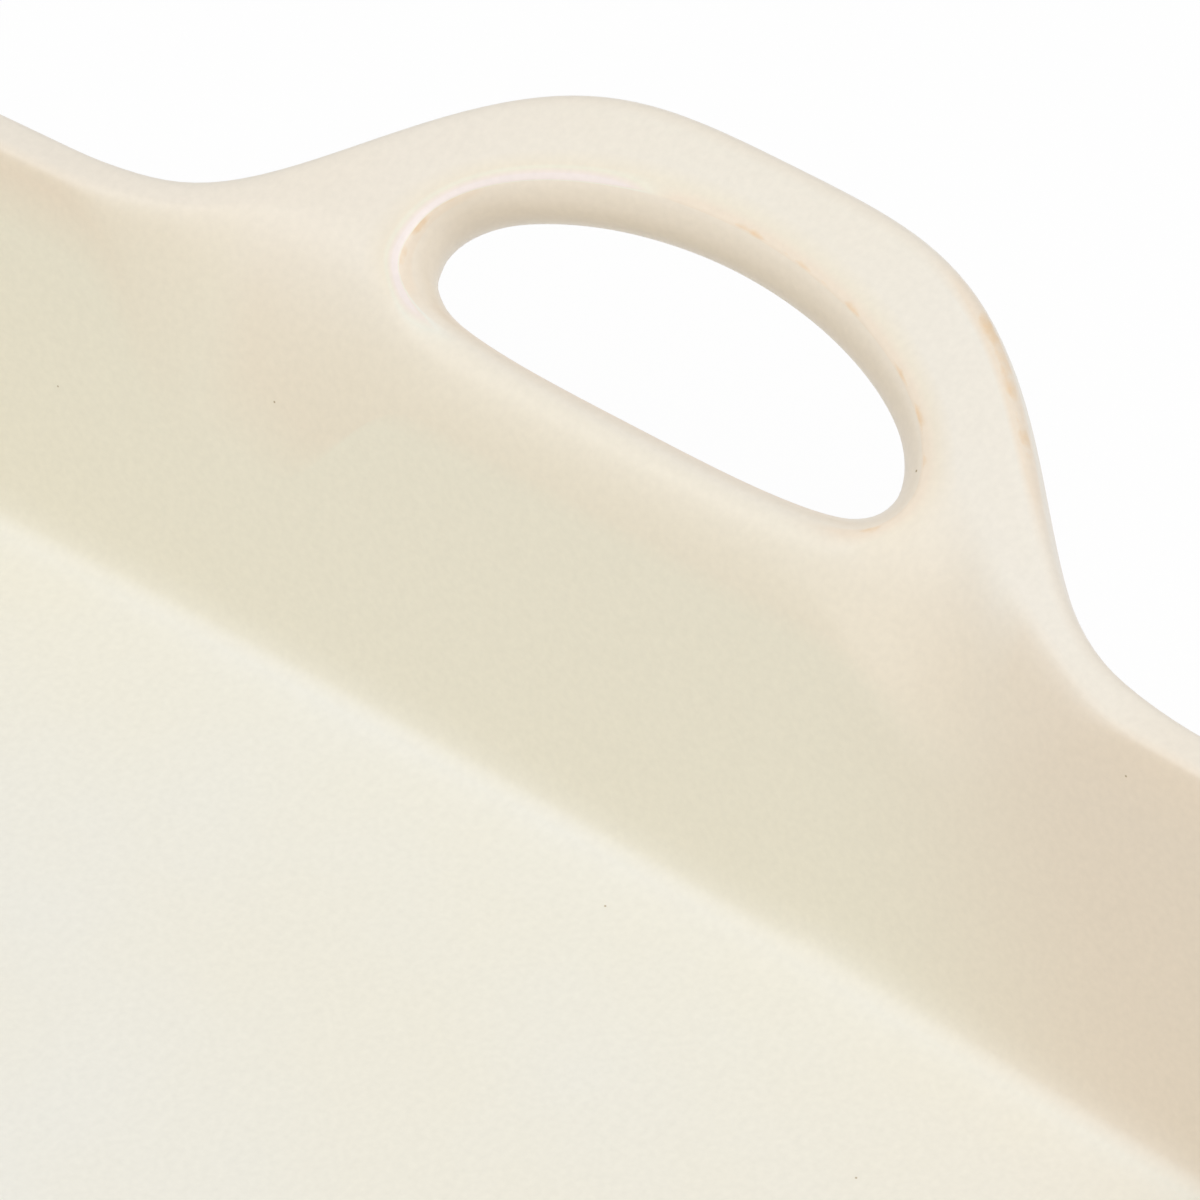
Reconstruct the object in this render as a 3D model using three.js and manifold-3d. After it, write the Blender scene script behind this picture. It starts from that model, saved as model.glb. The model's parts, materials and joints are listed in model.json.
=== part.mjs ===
// A square stoneware baking dish with a pierced lug handle on two opposite sides, glazed but for its foot.
// Millimetres. +Z is up, +X runs through the handles, and the origin lies under the middle of the foot.
import * as THREE from 'three';
import { mergeVertices } from 'three/addons/utils/BufferGeometryUtils.js';
import Module from 'manifold-3d';

const wasm = await Module();
wasm.setup();

const { degToRad, mapLinear } = THREE.MathUtils;

// Plan of the dish, seen from above, on the inner edge of its rim: bowed sides and round corners.
const INNER_WIDTH = 228;
const SIDE_RADIUS = 1720;
const CORNER_RADIUS = 32;

// Section through a side, on the finished surface.
const INNER_DEPTH = 46.6;
const INNER_DRAFT = degToRad(7.6);
const OUTER_DRAFT = degToRad(6);
const RIM_WIDTH = 5;
const RIM_INNER_ROUND = 2.2;
const RIM_OUTER_ROUND = 2;
const LINER_DROP = 3.2;
const FLOOR_THICKNESS = 6.5;
const FLOOR_ROUND = 4.5;
const BASE_ROUND = 8;

// Foot: a bare ring under the base, with a recess inside it.
const FOOT_HEIGHT = 1.6;
const FOOT_WIDTH = 7;
const FOOT_INSET = 11;

// Lug handle: a plate that grows out of the rim. Its face is measured up from the rim's inner edge.
const LUG_HALF_SPAN = 67.3;
const LUG_REACH = 35.8;
const LUG_EDGE_THICKNESS = 9.6;
const LUG_ROOT_DROP = 12.5;
const LUG_TILT = degToRad(62.4);
const LUG_FRONT_ROUND = 2.4;
const LUG_BACK_ROUND = 4;
const LUG_ROOT_ROUND = 5;
const RIDGE_ROUND = 10;
const SEAT_MARGIN = 3.5;

// Grip hole through the lug: a D with its straight edge down, at its narrowest.
const HOLE_HALF_WIDTH = 28;
const HOLE_CENTRE = 10.7;
const HOLE_ABOVE = 13.3;
const HOLE_BELOW = 6;
const HOLE_ROUND = 9.5;
const HOLE_MIDDLE_DEPTH = 5.2;
const HOLE_ARCH_POWER = 1.93;
const HOLE_SILL_POWER = 3.15;

// Coat of glaze over the clay, and the gap kept between pieces that meet.
const GLAZE = 0.45;
const GAP = 0.3;

// Shapes of the lug's outline and of its tilt along the side, as powers of the bump below.
const OUTLINE_POWERS = [3.64, 4.63];
const TILT_POWERS = [9.3, 1.5];

// Fineness of the facets.
const SIDE_STEPS = 8;
const CORNER_STEPS = 5;
const ROUND_STEPS = 2;
const LUG_STEPS = 22;
const HOLE_STEPS = 30;
const HOLE_LAYERS = 2;
const MERGE_DISTANCE = 1e-4;
const LEVEL_LIMIT = 1e-9;

// Largest share of a section's edge that the round at one of its ends takes up.
const ROUND_SHARE = 0.45;

const CLAY = new THREE.MeshStandardMaterial({ color: 0xc9b18e, roughness: 0.9, metalness: 0 });
const CREAM = new THREE.MeshStandardMaterial({ color: 0xeae2cf, roughness: 0.35, metalness: 0 });

// Heights and distances that follow from the sizes above.
const HALF = INNER_WIDTH / 2;
const FLOOR_TOP = FOOT_HEIGHT + FLOOR_THICKNESS;
const RIM_TOP = FLOOR_TOP + INNER_DEPTH;
const SEAT_DROP = LUG_ROOT_DROP + SEAT_MARGIN;
const SEAT_TOP = RIM_TOP - SEAT_DROP;
const COAT = GLAZE + GAP;
const OUTER_FALL = RIM_TOP - FOOT_HEIGHT;
const BASE_EDGE = RIM_WIDTH - OUTER_FALL * Math.tan(OUTER_DRAFT);
const FOOT_OUTER = BASE_EDGE - FOOT_INSET;
const FOOT_INNER = FOOT_OUTER - FOOT_WIDTH;
const SIDE_CENTRE = HALF - SIDE_RADIUS;
const CORNER_GAP = SIDE_RADIUS - CORNER_RADIUS;
const SIDE_ANGLE = Math.acos(-SIDE_CENTRE / (Math.SQRT2 * CORNER_GAP)) - Math.PI / 4;

// A point of the plan and the way out of the dish there, on an arc of the given centre.
function planPoint(centreX, centreY, radius, angle) {
  const normal = new THREE.Vector2(Math.cos(angle), Math.sin(angle));
  return { normal, place: normal.clone().multiplyScalar(radius).add(new THREE.Vector2(centreX, centreY)) };
}

// The whole plan: a side arc and a corner arc, turned four times.
function planOutline() {
  const corner = CORNER_GAP * Math.sin(SIDE_ANGLE);
  const quarter = [];
  for (let i = 0; i < SIDE_STEPS; i++) {
    const angle = mapLinear(i, 0, SIDE_STEPS, -SIDE_ANGLE, SIDE_ANGLE);
    quarter.push(planPoint(SIDE_CENTRE, 0, SIDE_RADIUS, angle));
  }
  for (let i = 0; i < CORNER_STEPS; i++) {
    const angle = mapLinear(i, 0, CORNER_STEPS, SIDE_ANGLE, Math.PI / 2 - SIDE_ANGLE);
    quarter.push(planPoint(corner, corner, CORNER_RADIUS, angle));
  }
  const turned = (point, turn) => point.clone().rotateAround(new THREE.Vector2(), turn);
  return [0, 1, 2, 3].flatMap((side) => quarter.map(({ place, normal }) => ({
    place: turned(place, side * Math.PI / 2),
    normal: turned(normal, side * Math.PI / 2),
  })));
}

const PLAN = planOutline();

// The plan's loop moved out by a distance and lifted to a height.
function planRing([out, height]) {
  return PLAN.map(({ place, normal }) => {
    const moved = place.clone().addScaledVector(normal, out);
    return new THREE.Vector3(moved.x, moved.y, height);
  });
}

// A point beside the +X side: the distance along it, the distance out from it and the height.
function sidePoint(along, out, height) {
  const side = planPoint(SIDE_CENTRE, 0, SIDE_RADIUS, Math.asin(along / SIDE_RADIUS)).place;
  return new THREE.Vector3(side.x + out, along, height);
}

// Where the lines through two pairs of points cross, in a section.
function crossing(a, b, c, d) {
  const [abX, abY, cdX, cdY] = [b[0] - a[0], b[1] - a[1], d[0] - c[0], d[1] - c[1]];
  const share = ((c[0] - a[0]) * cdY - (c[1] - a[1]) * cdX) / (abX * cdY - abY * cdX);
  return [a[0] + share * abX, a[1] + share * abY];
}

// A section line moved to its right by a depth. The end of a level edge moves straight up or down, and
// the end of another edge slides level.
function sunk(line, depth) {
  const sides = line.slice(1).map(([x, y], i) => {
    const length = Math.hypot(x - line[i][0], y - line[i][1]);
    return [(y - line[i][1]) / length, (line[i][0] - x) / length];
  });
  const end = ([x, y], side) => (Math.abs(side[0]) < LEVEL_LIMIT
    ? [x, y + depth * side[1]] : [x + depth / side[0], y]);
  return line.map(([x, y], i) => {
    if (i === 0) return end([x, y], sides[0]);
    if (i === line.length - 1) return end([x, y], sides[i - 1]);
    const [before, after] = [sides[i - 1], sides[i]];
    const share = depth / (1 + before[0] * after[0] + before[1] * after[1]);
    return [x + share * (before[0] + after[0]), y + share * (before[1] + after[1])];
  });
}

// A section line with its inner corners rounded.
function rounded(line, rounds) {
  const towards = (from, to, length) => {
    const edge = Math.hypot(to[0] - from[0], to[1] - from[1]);
    const share = Math.min(length / edge, ROUND_SHARE);
    return new THREE.Vector2(...from).lerp(new THREE.Vector2(...to), share);
  };
  return line.flatMap((corner, i) => {
    const round = rounds[i];
    if (!round) return [corner];
    const start = towards(corner, line[i - 1], round);
    const end = towards(corner, line[i + 1], round);
    const bend = new THREE.QuadraticBezierCurve(start, new THREE.Vector2(...corner), end);
    return bend.getPoints(ROUND_STEPS).map((point) => [point.x, point.y]);
  });
}

// A closed body through rings of equal length, capped at its first and last ring or closed on itself.
function loft(rings, capped = true) {
  const count = rings[0].length;
  const points = rings.flat();
  const index = [];
  const bands = capped ? rings.length - 1 : rings.length;
  for (let band = 0; band < bands; band++) {
    const near = band * count;
    const far = ((band + 1) % rings.length) * count;
    for (let i = 0; i < count; i++) {
      const next = (i + 1) % count;
      index.push(near + i, near + next, far + next, near + i, far + next, far + i);
    }
  }
  if (capped) {
    [[rings[0], 0, 1], [rings.at(-1), (rings.length - 1) * count, -1]].forEach(([ring, first, turn]) => {
      const middle = points.push(ring.reduce((sum, point) => sum.add(point), new THREE.Vector3())
        .divideScalar(count)) - 1;
      for (let i = 0; i < count; i++) {
        const pair = [first + i, first + (i + 1) % count];
        index.push(middle, ...(turn > 0 ? pair.reverse() : pair));
      }
    });
  }
  return facingOut(points, index);
}

// Turns points and triangles into a solid, flipping the triangles where they face inwards.
function facingOut(points, index) {
  const [a, b, c] = [new THREE.Vector3(), new THREE.Vector3(), new THREE.Vector3()];
  let volume = 0;
  for (let i = 0; i < index.length; i += 3) {
    a.copy(points[index[i]]);
    volume += a.dot(b.copy(points[index[i + 1]]).cross(c.copy(points[index[i + 2]])));
  }
  const outwards = volume < 0 ? index.reverse() : index;
  return solid(new THREE.BufferGeometry().setFromPoints(points).setIndex(outwards));
}

// A solid that can be cut, from a closed geometry.
function solid(geometry) {
  const bare = geometry.clone();
  bare.deleteAttribute('normal');
  bare.deleteAttribute('uv');
  const merged = mergeVertices(bare, MERGE_DISTANCE);
  return new wasm.Manifold(new wasm.Mesh({
    numProp: 3,
    vertProperties: Float32Array.from(merged.attributes.position.array),
    triVerts: Uint32Array.from(merged.index.array),
  }));
}

// A named mesh of a solid.
function piece(name, body, material) {
  const { vertProperties, triVerts } = body.getMesh();
  const geometry = new THREE.BufferGeometry();
  geometry.setAttribute('position', new THREE.BufferAttribute(Float32Array.from(vertProperties), 3));
  geometry.setIndex(new THREE.BufferAttribute(Uint32Array.from(triVerts), 1));
  geometry.computeVertexNormals();
  const mesh = new THREE.Mesh(geometry, material);
  mesh.name = name;
  return mesh;
}

// A point on the outer face of the wall, at a drop below the rim.
function wallPoint(drop) {
  return [RIM_WIDTH - drop * Math.tan(OUTER_DRAFT), RIM_TOP - drop];
}

// The inside of the dish, from the floor up the wall and over the rim, sunk by a depth below the finish.
function insideLine(depth) {
  const floorEdge = -INNER_DEPTH * Math.tan(INNER_DRAFT);
  const flatEdge = floorEdge - FLOOR_ROUND / ROUND_SHARE;
  const floor = [[flatEdge, FLOOR_TOP], [floorEdge, FLOOR_TOP]];
  const line = [...floor, [0, RIM_TOP], wallPoint(0), wallPoint(LINER_DROP)];
  return rounded(sunk(line, depth), [0, FLOOR_ROUND, RIM_INNER_ROUND, RIM_OUTER_ROUND, 0]);
}

// The outside of the dish, from a drop below the rim down the wall and in to the foot, sunk by a depth.
function outsideLine(drop, depth) {
  const line = [wallPoint(drop), [BASE_EDGE, FOOT_HEIGHT], [FOOT_OUTER, FOOT_HEIGHT]];
  return rounded(sunk(line, depth), [0, BASE_ROUND, 0]);
}

// The clay body: floor, walls and rim under the glaze, and the bare foot ring.
function bodySolid() {
  const outside = outsideLine(LINER_DROP, COAT).slice(1);
  const base = FOOT_HEIGHT + COAT;
  const foot = [[FOOT_OUTER, 0], [FOOT_INNER, 0], [FOOT_INNER, base]];
  return loft([...insideLine(COAT), ...outside, ...foot].map(planRing));
}

// The glaze inside the dish and over its rim.
function linerSolid() {
  return loft([...insideLine(0), ...insideLine(GLAZE).reverse()].map(planRing));
}

// The glaze outside, from the rim to the foot, lying below the liner's edge.
function outerCoatSolid() {
  const clearOfFoot = ([out, height]) => [Math.max(out, FOOT_OUTER + GAP), height];
  const [finish, under] = [0, GLAZE].map((depth) => outsideLine(LINER_DROP + GAP, depth).map(clearOfFoot));
  return loft([...finish, ...under.reverse()].map(planRing), false);
}

// The glaze in the recess inside the foot ring.
function baseCoatSolid() {
  const edge = FOOT_INNER - GAP;
  return loft([[edge, FOOT_HEIGHT], [edge, FOOT_HEIGHT + GLAZE]].map(planRing));
}

// Smooth rise from the ends of the lug to its middle, from 0 to 1.
function bump(along, [spread, ease]) {
  return (1 - Math.min(Math.abs(along) / LUG_HALF_SPAN, 1) ** spread) ** ease;
}

// The lug's section at a distance along the side, as corners and the rounds on them: root, ridge,
// front edge, back edge and down the wall again. At the lug's ends it is the wall's own section.
function lugSection(along) {
  const lift = bump(along, TILT_POWERS);
  const tilt = mapLinear(lift, 0, 1, Math.PI / 2, LUG_TILT);
  const fall = mapLinear(lift, 0, 1, Math.PI / 2 + OUTER_DRAFT, LUG_TILT);
  const reach = mapLinear(bump(along, OUTLINE_POWERS), 0, 1, RIM_WIDTH, LUG_REACH);
  const root = [-SEAT_DROP * Math.tan(INNER_DRAFT), SEAT_TOP];
  const front = [reach * Math.sin(tilt), RIM_TOP + reach * Math.cos(tilt)];
  const back = [
    front[0] + LUG_EDGE_THICKNESS * Math.cos(fall),
    front[1] - LUG_EDGE_THICKNESS * Math.sin(fall),
  ];
  const ridgeRound = mapLinear(lift, 0, 1, RIM_INNER_ROUND, RIDGE_ROUND);
  const frontRound = mapLinear(lift, 0, 1, RIM_OUTER_ROUND, LUG_FRONT_ROUND);
  return {
    line: [root, [0, RIM_TOP], front, back, wallPoint(LUG_ROOT_DROP), wallPoint(SEAT_DROP)],
    rounds: [0, ridgeRound, frontRound, LUG_BACK_ROUND, LUG_ROOT_ROUND, 0],
  };
}

// A section line whose two ends are drawn out or cut back to a height.
function stoodAt(line, height) {
  const level = [[0, height], [1, height]];
  const first = crossing(line[0], line[1], ...level);
  const last = crossing(line.at(-2), line.at(-1), ...level);
  return [first, ...line.slice(1, -1), last];
}

// The lug without its hole, sunk by a depth, between two ends and standing at a height.
function lugBlank(depth, halfSpan, standing) {
  const rings = [];
  for (let step = 0; step <= LUG_STEPS; step++) {
    const along = mapLinear(step, 0, LUG_STEPS, -halfSpan, halfSpan);
    const { line, rounds } = lugSection(along);
    const section = stoodAt(rounded(sunk(line, depth), rounds), standing);
    rings.push(section.map(([out, height]) => sidePoint(along, out, height)));
  }
  return loft(rings);
}

// A loop of the grip hole, in the plane of the lug's face: an arch above its centre and a sill below.
function holeLoop(halfWidth, above, below, deep) {
  return Array.from({ length: HOLE_STEPS }, (_, i) => {
    const angle = i / HOLE_STEPS * 2 * Math.PI;
    const [x, y] = [Math.cos(angle), Math.sin(angle)];
    const [height, power] = y >= 0 ? [above, 2 / HOLE_ARCH_POWER] : [below, 2 / HOLE_SILL_POWER];
    const along = halfWidth * Math.sign(x) * Math.abs(x) ** power;
    const up = HOLE_CENTRE + height * Math.sign(y) * Math.abs(y) ** power;
    const out = up * Math.sin(LUG_TILT) + deep * Math.cos(LUG_TILT);
    return sidePoint(along, out, RIM_TOP + up * Math.cos(LUG_TILT) - deep * Math.sin(LUG_TILT));
  });
}

// The plug that cuts the grip hole, sunk by a depth: narrowest inside the plate and wider at its two faces,
// but for the sill, which stays level behind.
function holePlug(depth) {
  const layer = (turn, beyond) => {
    const grown = depth + HOLE_ROUND * (1 - Math.cos(turn));
    const below = HOLE_BELOW + (turn < 0 ? depth : grown);
    const deep = HOLE_MIDDLE_DEPTH - (HOLE_MIDDLE_DEPTH - depth) * Math.sin(turn) - beyond;
    return holeLoop(HOLE_HALF_WIDTH + grown, HOLE_ABOVE + grown, below, deep);
  };
  const clear = LUG_EDGE_THICKNESS + LUG_BACK_ROUND;
  const rings = [layer(Math.PI / 2, clear)];
  for (let step = HOLE_LAYERS; step >= -HOLE_LAYERS; step--) {
    rings.push(layer(step / HOLE_LAYERS * Math.PI / 2, 0));
  }
  rings.push(layer(-Math.PI / 2, -clear));
  return loft(rings);
}

// The lug at a depth below the finish, pierced by its hole.
function lugSolid(depth, halfSpan, standing) {
  return lugBlank(depth, halfSpan, standing).subtract(holePlug(depth));
}

// The seats that the two lugs stand in: the top of the wall is cut away there.
function seatCutter(side) {
  const box = new THREE.BoxGeometry(2 * LUG_REACH, 2 * LUG_HALF_SPAN, 2 * SEAT_DROP);
  box.translate(side * HALF, 0, SEAT_TOP + SEAT_DROP);
  return solid(box);
}

function cutSeats(body) {
  return body.subtract(seatCutter(1)).subtract(seatCutter(-1));
}

// One handle and its coat of glaze, on the +X side or turned to the other.
function handleGroup(name, turn) {
  const group = new THREE.Group();
  const end = LUG_HALF_SPAN - GAP;
  const clay = lugSolid(COAT, end, SEAT_TOP + GAP);
  const core = lugSolid(GLAZE, LUG_HALF_SPAN + GAP, SEAT_TOP - GAP);
  const coat = lugSolid(0, end, SEAT_TOP + GAP).subtract(core);
  group.add(piece(name, clay, CLAY), piece(`${name}_glaze`, coat, CREAM));
  group.rotation.z = turn;
  return group;
}

const dish = new THREE.Group();
dish.add(
  piece('dish_body', cutSeats(bodySolid()), CLAY),
  piece('liner_glaze', cutSeats(linerSolid()), CREAM),
  piece('outer_glaze', cutSeats(outerCoatSolid()), CREAM),
  piece('base_glaze', baseCoatSolid(), CREAM),
  handleGroup('right_handle', 0),
  handleGroup('left_handle', Math.PI),
);

export default dish;
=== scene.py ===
"""Looks of a square stoneware baking dish with two pierced lug handles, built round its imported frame.

Sizes are in metres. +Z is up, +X runs through the handles, and the origin lies under the middle of the foot.
"""
import json
import logging
import math
from collections.abc import Callable, Mapping, Sequence
from dataclasses import dataclass, field
from enum import Enum
from functools import cached_property
from typing import NamedTuple

import bmesh
import bpy
from mathutils import Matrix, Vector


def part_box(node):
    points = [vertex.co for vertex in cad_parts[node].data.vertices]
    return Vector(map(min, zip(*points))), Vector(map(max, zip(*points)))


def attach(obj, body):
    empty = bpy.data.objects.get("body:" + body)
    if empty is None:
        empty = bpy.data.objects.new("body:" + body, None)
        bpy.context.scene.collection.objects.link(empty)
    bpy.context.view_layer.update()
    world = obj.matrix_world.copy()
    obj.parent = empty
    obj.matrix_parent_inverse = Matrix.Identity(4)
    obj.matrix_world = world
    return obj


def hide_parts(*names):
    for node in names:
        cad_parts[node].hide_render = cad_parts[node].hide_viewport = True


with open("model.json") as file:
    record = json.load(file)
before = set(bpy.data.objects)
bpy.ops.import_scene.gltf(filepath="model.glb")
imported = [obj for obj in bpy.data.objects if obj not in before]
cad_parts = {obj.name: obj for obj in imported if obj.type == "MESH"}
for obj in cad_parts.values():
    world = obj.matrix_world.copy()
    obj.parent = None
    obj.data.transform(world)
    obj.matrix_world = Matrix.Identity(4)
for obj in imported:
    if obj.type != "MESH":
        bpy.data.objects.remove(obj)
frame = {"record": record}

LOG = logging.getLogger("baking_dish")
BODY = "root"

# Short names for types. Placed is a vertex's place, how thin its glaze is drawn and how much painted shade it
# gets.
# Layer is how much of a surface a colour covers, and that colour.
Tree = bpy.types.NodeTree
Socket = bpy.types.NodeSocket
Placed = tuple[Vector, float, float]
Layer = tuple[Socket, object]

# Layers of the dish's mesh: where a vertex stands in its net, how thin the glaze is drawn over an edge there
# (below 0 where a white highlight is painted), and how much painted shade it gets as a steep surface.
COLUMN_LAYER = "column"
RING_LAYER = "ring"
THIN_AND_HIGHLIGHT_LAYER = "thin_glaze_and_highlight"
PAINTED_SHADE_LAYER = "painted_slope_shade"

MERGE_DISTANCE = 1e-6

# Fine steps over half the loop of a hole, from which even ones are picked.
LOOP_SAMPLES = 720

# How steep a slope is, from 0 for level to 1 for upright, where its painted shade starts and where it is
# full.
SHADED_SLOPES = (0.5, 0.95)


class Side(Enum):
    """The four sides of the dish, by their quarter turns from +X."""

    RIGHT = 0
    BACK = 1
    LEFT = 2
    FRONT = 3

    @property
    def carries_lug(self) -> bool:
        """Whether a handle grows out of this side."""
        return self in (Side.RIGHT, Side.LEFT)

    def turned(self, point: Vector) -> Vector:
        """A plan point of the +X side, turned to this side."""
        return Matrix.Rotation(self.value * math.pi / 2, 2) @ point


class Bend(Enum):
    """The bends that the dish's section goes round, from the floor inside to the base outside."""

    FLOOR = "floor"
    RIDGE = "ridge"
    FRONT = "front"
    BACK = "back"
    ROOT = "root"
    BASE = "base"


# Parts of each bend's round, and of the stretch that follows it.
BEND_PARTS: dict[Bend, tuple[int, int]] = {
    Bend.FLOOR: (3, 5),
    Bend.RIDGE: (4, 4),
    Bend.FRONT: (3, 2),
    Bend.BACK: (3, 8),
    Bend.ROOT: (3, 5),
    Bend.BASE: (4, 1),
}


def first_ring(bend: Bend) -> int:
    """The ring of the net where a bend's round starts."""
    earlier = list(BEND_PARTS)[:list(BEND_PARTS).index(bend)]
    return 1 + sum(sum(BEND_PARTS[other]) for other in earlier)


def last_ring(bend: Bend) -> int:
    """The ring of the net where a bend's round ends."""
    return first_ring(bend) + BEND_PARTS[bend][0]


def mixed(start: float, end: float, share: float) -> float:
    """The value at a share of the way between two values."""
    return start + (end - start) * share


def eased(value: float, low: float, high: float) -> float:
    """A smooth step from 0 at low to 1 at high."""
    share = min(max((value - low) / (high - low), 0.0), 1.0)
    return share * share * (3 - 2 * share)


def towards(corner: Vector, other: Vector, length: float) -> Vector:
    """The point at a length from a corner on the way to its neighbour."""
    return corner + (other - corner).normalized() * length


def on_round(start: Vector, corner: Vector, end: Vector, share: float) -> Vector:
    """The point at a share of the way along the round of a corner."""
    return start.lerp(corner, share).lerp(corner.lerp(end, share), share)


def slope_shade(slope: Vector) -> float:
    """How much painted shade a slope of a section gets, from 0 to 1: steep ones are painted olive."""
    return eased(abs(slope.y) / slope.length, *SHADED_SLOPES)


class Spot(NamedTuple):
    """A point of a side's section, the state of the glaze on it and its painted shade.

    Attributes:
        along: Distance along the side.
        point: Distance out from the plan, and height.
        thin: How thin the glaze is drawn over an edge, from 0 to 1, or below 0 where a white highlight is
            painted.
        slope_shade: How much painted shade the slope gets, from 0 to 1.
    """

    along: float
    point: Vector
    thin: float = 0.0
    slope_shade: float = 0.0


@dataclass(frozen=True)
class Column:
    """A column of the net that the dish's surface is drawn on.

    Attributes:
        place: Its point of the plan, on the inner edge of the rim.
        normal: The way out of the plan there.
        from_lug: Its distance along the side from the middle of a lug, or a length past any lug's end.
        side: The side that it stands on.
    """

    place: Vector
    normal: Vector
    from_lug: float
    side: Side


@dataclass(frozen=True)
class DishPlan:
    """The dish seen from above, on the inner edge of its rim: bowed sides and round corners."""

    inner_width: float = 0.228
    side_radius: float = 1.720
    corner_radius: float = 0.032
    lug_half_span: float = 0.0673
    lug_columns: int = 44
    end_columns: int = 3
    side_columns: int = 24
    corner_columns: int = 8

    @property
    def side_centre(self) -> float:
        """Distance from the dish's middle to the middle of a side's arc."""
        return self.inner_width / 2 - self.side_radius

    @property
    def side_angle(self) -> float:
        """Half the angle of a side's arc."""
        gap = self.side_radius - self.corner_radius
        return math.acos(-self.side_centre / (math.sqrt(2) * gap)) - math.pi / 4

    def count(self, side: Side) -> int:
        """Columns of a side, with half a corner at each of its ends."""
        middle = self.lug_columns + 2 * self.end_columns if side.carries_lug else self.side_columns
        return middle + self.corner_columns

    def first(self, side: Side) -> int:
        """The first column of a side."""
        return sum(self.count(other) for other in Side if other.value < side.value)

    def middle(self, side: Side) -> int:
        """The column in the middle of a side."""
        return self.first(side) + self.count(side) // 2

    def beside(self, side: Side, along: float) -> Column:
        """The column at any distance along a side."""
        angle = math.asin(along / self.side_radius)
        normal = Vector((math.cos(angle), math.sin(angle)))
        place = Vector((self.side_centre, 0.0)) + normal * self.side_radius
        from_lug = along if side.carries_lug else self.inner_width
        return Column(side.turned(place), side.turned(normal), from_lug, side)

    def at_corner(self, side: Side, angle: float) -> Column:
        """A column on the corner arc at one end of a side, at an angle from the side's own way out."""
        gap = (self.side_radius - self.corner_radius) * math.sin(self.side_angle)
        normal = Vector((math.cos(angle), math.sin(angle)))
        place = Vector((gap, math.copysign(gap, angle))) + normal * self.corner_radius
        return Column(side.turned(place), side.turned(normal), self.inner_width, side)

    def stations(self, side: Side) -> list[float]:
        """Distances along a side where its columns stand, between its two corners."""
        end = self.side_radius * math.sin(self.side_angle)
        if not side.carries_lug:
            return [mixed(-end, end, i / self.side_columns) for i in range(self.side_columns + 1)]
        span = self.lug_half_span
        lug = [mixed(-span, span, i / self.lug_columns) for i in range(self.lug_columns + 1)]
        before = [mixed(-end, -span, i / self.end_columns) for i in range(self.end_columns)]
        return before + lug + [-along for along in reversed(before)]

    @cached_property
    def columns(self) -> list[Column]:
        """All columns, side by side from the middle of the corner between FRONT and RIGHT."""
        made: list[Column] = []
        half = self.corner_columns // 2
        for side in Side:
            for i in range(half):
                made.append(self.at_corner(side, mixed(-math.pi / 4, -self.side_angle, i / half)))
            stations = self.stations(side)
            made.extend(self.beside(side, along) for along in stations)
            for i in range(1, half):
                made.append(self.at_corner(side, mixed(self.side_angle, math.pi / 4, i / half)))
        return made


@dataclass(frozen=True)
class WallSection:
    """The section through a plain side, on the finished surface: distance out from the plan, and height."""

    floor_top: float
    rim_top: float
    foot_height: float
    inner_draft: float = math.radians(7.6)
    outer_draft: float = math.radians(6)
    rim_width: float = 0.0050
    rim_inner_round: float = 0.0013
    rim_outer_round: float = 0.0014
    floor_round: float = 0.0045
    floor_margin: float = 0.010
    base_round: float = 0.008
    foot_inset: float = 0.011

    @property
    def floor_edge(self) -> Vector:
        """Where the inner wall would meet the floor without its round."""
        return Vector(((self.floor_top - self.rim_top) * math.tan(self.inner_draft), self.floor_top))

    @property
    def floor_start(self) -> Vector:
        """Edge of the flat floor."""
        return self.floor_edge - Vector((self.floor_margin, 0.0))

    @property
    def base_edge(self) -> Vector:
        """Where the outer wall would meet the base without its round."""
        return self.outer(self.rim_top - self.foot_height)

    @property
    def foot_outer(self) -> Vector:
        """Outer edge of the foot ring, where the glaze ends."""
        return self.base_edge - Vector((self.foot_inset, 0.0))

    def outer(self, drop: float) -> Vector:
        """A point on the outer face of the wall, at a drop below the rim."""
        return Vector((self.rim_width - drop * math.tan(self.outer_draft), self.rim_top - drop))


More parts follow.
